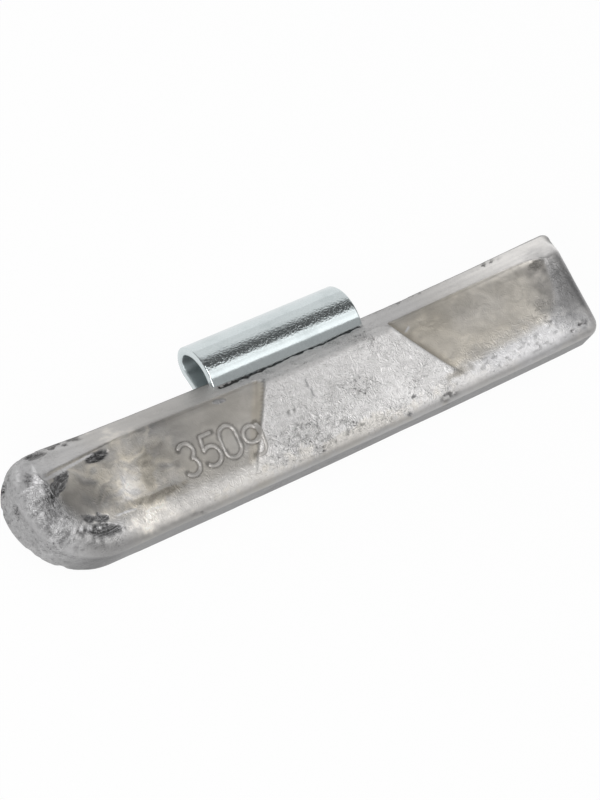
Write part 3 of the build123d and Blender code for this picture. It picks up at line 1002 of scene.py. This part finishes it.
def add_pits(skin, zone, look):
    """Sink the speckled zones, the pits and the streaks into the skin, painting the streaks' highlights and
    a faint highlight round each brim. The step under the bevel is kept clear, so that no pit breaks through
    its thin wall."""
    step_line = -FIELD_TOP - FIELD_TAPER * np.clip(-skin.x - TAPER_START, 0, None)
    clear = 1 - smooth(1.1, 0.5, np.abs(skin.y - step_line)) * smooth(-10, -14, skin.x)
    for speck in SPECKS.values():
        share = smooth(1.3, 0.5, mark_distance(skin.points, skin.ragged, speck)) * zone.open_face
        share *= smooth(speck.bare, speck.bare + 0.3, lumps(skin.points, speck.size, 27) + 0.3 * skin.fine)
        look.rise -= speck.depth * share
        look.tone += (speck.tone - look.tone) * share
        look.torn = np.maximum(look.torn, share * torn_share(speck))
    for pit in (PITS | STREAKS_AND_HIGHLIGHTS).values():
        distance = mark_distance(skin.points, skin.ragged, pit)
        share = smooth(1.15, 0.8, distance) * zone.open_face
        # A faint painted highlight in a ring round each pit and streak.
        brim_highlight = smooth(1.6, 1.25, distance) * zone.open_face - share
        sink = smooth(1.05, 0.7, distance) * zone.open_face * clear * (0.75 + 0.25 * skin.fine)
        look.rise -= pit.depth * sink
        look.tone += (pit.tone - look.tone) * share + 0.03 * brim_highlight
        look.torn = np.maximum(look.torn * (1 - share), share * torn_share(pit))
        look.warmth *= 1 - share


def add_painted_corner_shade(skin, zone, look):
    """Paint shade into the corners: along the walls of the middle, with a warm edge beside them, along the
    step under the bevel and at the foot of the strokes."""
    across = skin.y * math.tan(MIDDLE_LEAN)
    lip_left = (MIDDLE_LEFT - across + skin.x) * math.cos(MIDDLE_LEAN)
    lip_right = (MIDDLE_RIGHT - across - skin.x) * math.cos(MIDDLE_LEAN)
    on_lip = smooth(-18.5, -16, skin.y) * smooth(-1.5, -2.5, skin.y) * zone.facing
    left_line = smooth(0.3, 0.08, np.abs(lip_left + 0.12 + 0.12 * skin.coarse))
    right_line = smooth(0.35, 0.1, np.abs(lip_right + 0.2 + 0.15 * skin.coarse))
    step_line = smooth(0.4, 0.1, np.abs(skin.y + FIELD_TOP + 0.25 + 0.12 * skin.coarse))
    # Painted shade along the lips of the middle's walls, the step and the strokes' feet.
    look.tone *= (1 - 0.5 * on_lip * left_line) * (1 - 0.35 * on_lip * right_line)
    look.tone *= (1 - 0.25 * step_line * zone.sunk) * (1 - 0.5 * stroke_foot_shade(skin.points) * zone.left)
    look.warmth += 0.4 * zone.left * smooth(-2.2, -1.2, lip_left)
    look.warmth += 0.3 * zone.right * smooth(-2.0, -1.0, lip_right)


def root_distance(skin, zone):
    """Distance from the ragged seam where the clip goes into the lead, large past the clip's ends."""
    wander = ROOT_LINE + 0.2 * lumps(skin.points * (1, 0, 0), 0.8, 17) + 0.25 * smooth(*ROOT_STEP, skin.x)
    past_clip = smooth(CLIP_WIDTH / 2 - 0.7, CLIP_WIDTH / 2 + 0.3, np.abs(skin.x))
    return np.abs(skin.points[:, 1] - wander) + ROOT_FAR * (past_clip + 1 - zone.facing)


def lead_finish(flat, normals):
    """Rise of the bar's vertices, and the values that its material reads: tone, warmth, grain, torn metal,
    distance from the clip's root, and distances across and along the tears round the nose's bowl."""
    out = normals[:, 2]
    skin = skin_fields(flat)
    zone = skin_zones(skin.x, skin.y, out)
    grain = skin_grain(skin, zone)
    look = SimpleNamespace(
        grain=grain,
        tone=skin_tone(skin, zone),
        warmth=skin_warmth(skin, zone),
        rise=skin_rise(skin, zone, grain),
        torn=np.zeros(len(flat)),
    )
    add_stains_and_painted_shade(skin, zone, look)
    add_pits(skin, zone, look)
    add_painted_corner_shade(skin, zone, look)
    root = root_distance(skin, zone)
    rise = look.rise - ROOT_DEPTH * smooth(ROOT_GAP, 0.1, root)
    from_bowl = skin.points[:, :2] - BOWL.place
    return np.where(out > 0.3, rise, np.minimum(rise, 0)), {
        "tone": look.tone,
        "warmth": np.clip(look.warmth, 0, 1),
        "grain": np.maximum(grain, 0.55 * look.torn),
        "torn": look.torn * smooth(-30, -40, skin.x),
        "root": np.clip(root, 0, ROOT_FAR),
        "tear_across": BOWL.half[1] * mark_distance(skin.points, 0, BOWL),
        "tear_along": BOWL.half[0] * np.arctan2(-from_bowl[:, 1], -from_bowl[:, 0]),
    }


def cast_lead():
    """Lead as it comes from the mould: tones with their painted shade and highlights, warm stains and pits
    from the vertices, under a fine crust, wrinkles with painted shade in their creases and painted glints,
    strands of torn metal, and the dark seam at the clip's root."""
    material, shader, shade = finish("cast_lead", {"Metallic": 0.5})
    grain = shade.attribute("grain")
    crust = shade.grain(1100, 4)
    sand = shade.grain(2400, 2)
    wrinkles = shade.math("ABSOLUTE", shade.grain(640, 3, distortion=1.5) - 0.5, 0)
    # Painted shade along the wrinkles' creases, and painted glints on bright spots of the base colour.
    painted_wrinkle_shade = (1 - shade.ramp(wrinkles, 0.0, 0.05)) * shade.ramp(shade.grain(260, 3), 0.48, 0.6)
    painted_glints = shade.ramp(sand, 0.6, 0.72)
    pepper = 1 - shade.ramp(shade.grain(1700, 2), 0.32, 0.42)
    strands = {"X": shade.attribute("tear_across") * 1.7, "Y": shade.attribute("tear_along") * 0.35}
    strands = shade.node("ShaderNodeCombineXYZ", None, strands)
    strands = {"Vector": strands, "Scale": 1.0, "Detail": 2.0, "Distortion": 0.6}
    strands = shade.node("ShaderNodeTexNoise", None, strands)
    tears = 1 - shade.ramp(shade.math("ABSOLUTE", strands - 0.5, 0), 0.02, 0.07)
    shreds = (tears * 0.26 + shade.ramp(shade.grain(1500, 2), 0.55, 0.66) * 0.06) * shade.attribute("torn")
    spread = (crust - 0.5) * (0.18 + grain * 0.4) - grain * pepper * 0.5
    spread = spread + grain * grain * (painted_glints * 0.45 - painted_wrinkle_shade * 0.65)
    root = shade.ramp(shade.attribute("root") + (shade.grain(1400, 3) - 0.5) * 0.8, 0.2, 0.4)
    colour = shade.mixed(shade.attribute("warmth"), COOL_LEAD, WARM_LEAD)
    tone = (shade.attribute("tone") * (1 + spread) + shreds) * (0.08 + root * 0.92)
    height = (wrinkles * 1.6 + crust * 0.35) * (0.06 + grain * 0.94)
    wire(shade, shader, {
        "Base Color": shade.scaled(colour, tone),
        "Roughness": 0.26 + crust * 0.2 + grain * 0.08,
        "Normal": shade.bump(height, 0.0005, 0.9),
    })
    return material


bar_points, bar_faces = cast_surface()
bar = new_piece("cast_bar", bar_points, bar_faces)
bar_points, bar_normals = mesh_points(bar.data)
bar_rise, bar_look = lead_finish(bar_points, bar_normals)
bar_points += bar_normals * bar_rise[:, None]
place_points(bar.data, in_frame(rounded_top(bent(bar_points))))
for name, values in bar_look.items():
    add_attribute(bar.data, name, values)
bar.data.materials.append(cast_lead())
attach(bar, "root")
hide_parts("cast_weight")

# Mass mark: the weight's mass in grams, cast proud of the left field in plain rounded strokes. It is one
# with the bar, and a mesh of its own here because its strokes are finer than the bar's grid. Their lines
# and sizes are with the bar, which has painted shade along their feet.
STROKE_SIDES = 16
STROKE_LUMPS = 0.03
STROKE_TONE = 0.79
STROKE_MOTTLE = 0.15
STROKE_WARMTH = 0.4
STROKE_GRAIN = 0.15


def stroke_surface(path):
    """Half-round ridge along a path on the field, an ellipse across it, drawn in to a point at both ends."""
    ahead = np.gradient(path, axis=0)
    ahead /= np.linalg.norm(ahead, axis=1, keepdims=True)
    run = np.concatenate([[0], np.cumsum(np.linalg.norm(np.diff(path, axis=0), axis=1))])
    to_end = np.minimum(run, run[-1] - run) / (STROKE_WIDTH / 2)
    size = np.sqrt(1 - (1 - np.clip(to_end, 0, 1)) ** 2)[:, None]
    turn = np.radians(np.linspace(0, 360, STROKE_SIDES + 1))
    across = size * STROKE_WIDTH / 2 * np.cos(turn)
    x = path[:, :1] - ahead[:, 1:] * across
    y = path[:, 1:] + ahead[:, :1] * across
    sine = np.sin(turn)
    proud = size * np.where(sine > 0, STROKE_RISE * sine, STROKE_SINK * sine)
    flat = unbent(np.stack([x, y, np.full_like(x, BAR_THICKNESS)], -1))
    ground = marked_side(flat[..., 0], flat[..., 1], front.height(flat[..., 1]))
    surface = np.stack([flat[..., 0], flat[..., 1], ground], -1)
    surface[..., 2] += proud + unevenness(bent(surface))
    return surface


mark_points, mark_faces = sheets_mesh([stroke_surface(path) for path in mass_strokes()])
mark = new_piece("mass_mark", mark_points, mark_faces)
mark_points, mark_normals = mesh_points(mark.data)
mark_points += mark_normals * STROKE_LUMPS * lumps(bent(mark_points), FINE_SIZE, 12)[:, None]
place_points(mark.data, in_frame(bent(mark_points)))
add_attribute(mark.data, "tone", STROKE_TONE + STROKE_MOTTLE * lumps(mark_points, MARBLE_SIZE, 18))
add_attribute(mark.data, "warmth", np.full(len(mark_points), STROKE_WARMTH))
add_attribute(mark.data, "grain", np.full(len(mark_points), STROKE_GRAIN))
add_attribute(mark.data, "root", np.full(len(mark_points), ROOT_FAR))
mark.data.materials.append(bar.data.materials[0])
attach(mark, "root")

# Studio: a pale floor that shows white and keeps the shadow, a lamp overhead that the clip mirrors, one
# above and one at the left side for the lead, a pale one behind the clip, and a weak even world with a dark
# band for the clip to mirror. The camera stands where the photograph was taken from.
CAMERA_TURNS = (27.677, 6.319, 26.985)
CAMERA_DISTANCE = 414.5
PIXELS_PER_MM = 5.209
PRINCIPAL_POINT = (286.53, 395.11)
IMAGE = (600, 800)
FLOOR_COLOUR = (0.8, 0.8, 0.8, 1)
FLOOR_SIZE = 3.0
FLOOR_WHITENESS = 0.96
WORLD_LEVEL = 0.45
LAMPS = {
    "overhead": dict(place=(0.34, 0.0, 0.66), size=(0.316, 0.4), power=0.4),
    "above": dict(place=(-0.12, 0.1, 0.7), size=(0.4, 0.4), power=1.6),
    "behind_clip": dict(place=(0.3, 0.62, 0.2), size=(0.9, 0.46), power=0.53),
    "left_side": dict(place=(-0.5, -0.25, 0.42), size=(0.4, 0.4), power=2.2),
}
DARK_CEILING = (0.38, 0.85, 1.45, 1.7)
CEILING_LEVEL = 0.11


def turned(axis, degrees):
    """Matrix of a turn about X, Y or Z that carries the object into the camera's axes."""
    sign = -1 if axis == "X" else 1
    return Matrix.Rotation(math.radians(sign * degrees), 3, axis)


axes = turned("Z", CAMERA_TURNS[2]) @ turned("X", CAMERA_TURNS[1]) @ turned("Y", CAMERA_TURNS[0])
camera = bpy.data.cameras.new("camera")
camera.sensor_width = 36
camera.lens = camera.sensor_width * PIXELS_PER_MM * CAMERA_DISTANCE / IMAGE[1]
camera.shift_x = (IMAGE[0] / 2 - PRINCIPAL_POINT[0]) / IMAGE[1]
camera.shift_y = (PRINCIPAL_POINT[1] - IMAGE[1] / 2) / IMAGE[1]
camera.clip_start = 0.01
viewer = bpy.data.objects.new("camera", camera)
viewer.matrix_world = Matrix.Translation(axes[2] * CAMERA_DISTANCE / 1000) @ axes.transposed().to_4x4()
bpy.context.scene.collection.objects.link(viewer)
bpy.context.scene.camera = viewer

for name, lamp in LAMPS.items():
    light = bpy.data.lights.new(name, "AREA")
    light.shape = "RECTANGLE"
    light.size, light.size_y = lamp["size"]
    light.energy = lamp["power"]
    holder = bpy.data.objects.new(name, light)
    holder.location = lamp["place"]
    holder.rotation_euler = Vector(lamp["place"]).to_track_quat("Z", "Y").to_euler()
    bpy.context.scene.collection.objects.link(holder)


def seen_directly(shade):
    """1 for rays from the camera or from a mirror-like surface, 0 for light that spreads."""
    kinds = ("Camera", "Glossy", "Transmission")
    rays = [shade.node("ShaderNodeLightPath", output=f"Is {kind} Ray") for kind in kinds]
    return shade.math("MINIMUM", rays[0] + rays[1] + rays[2], 1.0)


def white_floor():
    """Pale floor whose lit colour is lifted to white where it is seen, so that the shadow on it stays."""
    material, shader, shade = finish("white_floor", {"Base Color": FLOOR_COLOUR, "Roughness": 0.9})
    white = shade.node("ShaderNodeEmission", None, {"Color": (1, 1, 1, 1), "Strength": 1.0})
    lit = Shade(shade.tree, shader.outputs[0])
    seen = seen_directly(shade) * FLOOR_WHITENESS
    both = shade.node("ShaderNodeMixShader", None, {0: seen, 1: lit, 2: white})
    shade.tree.links.new(both.socket, shade.tree.nodes["Material Output"].inputs["Surface"])
    return material


reach = FLOOR_SIZE / 2
floor_corners = [(-reach, -reach, 0), (reach, -reach, 0), (reach, reach, 0), (-reach, reach, 0)]
floor_mesh = bpy.data.meshes.new("floor")
floor_mesh.from_pydata(floor_corners, [], [(0, 1, 2, 3)])
floor_mesh.materials.append(white_floor())
floor = bpy.data.objects.new("floor", floor_mesh)
bpy.context.scene.collection.objects.link(floor)

world = bpy.data.worlds.new("studio")
world.use_nodes = True
bpy.context.scene.world = world
sky = Shade(world.node_tree)
backdrop = world.node_tree.nodes["Background"]
direction = sky.node("ShaderNodeTexCoord", output="Generated")
sky_y = sky.node("ShaderNodeSeparateXYZ", None, {0: direction}, "Y")
sky_z = sky.node("ShaderNodeSeparateXYZ", None, {0: direction}, "Z")
sky_angle = sky.math("ARCTAN2", sky_z, sky_y)
dark = sky.ramp(sky_angle, *DARK_CEILING[:2]) * (1 - sky.ramp(sky_angle, *DARK_CEILING[2:]))
level = WORLD_LEVEL - dark * (WORLD_LEVEL - CEILING_LEVEL)
camera_ray = sky.node("ShaderNodeLightPath", output="Is Camera Ray")
wire(sky, backdrop, {"Strength": level + camera_ray * (1 - level)})
backdrop.inputs["Color"].default_value = (1, 1, 1, 1)
bpy.context.scene.view_settings.view_transform = "Standard"
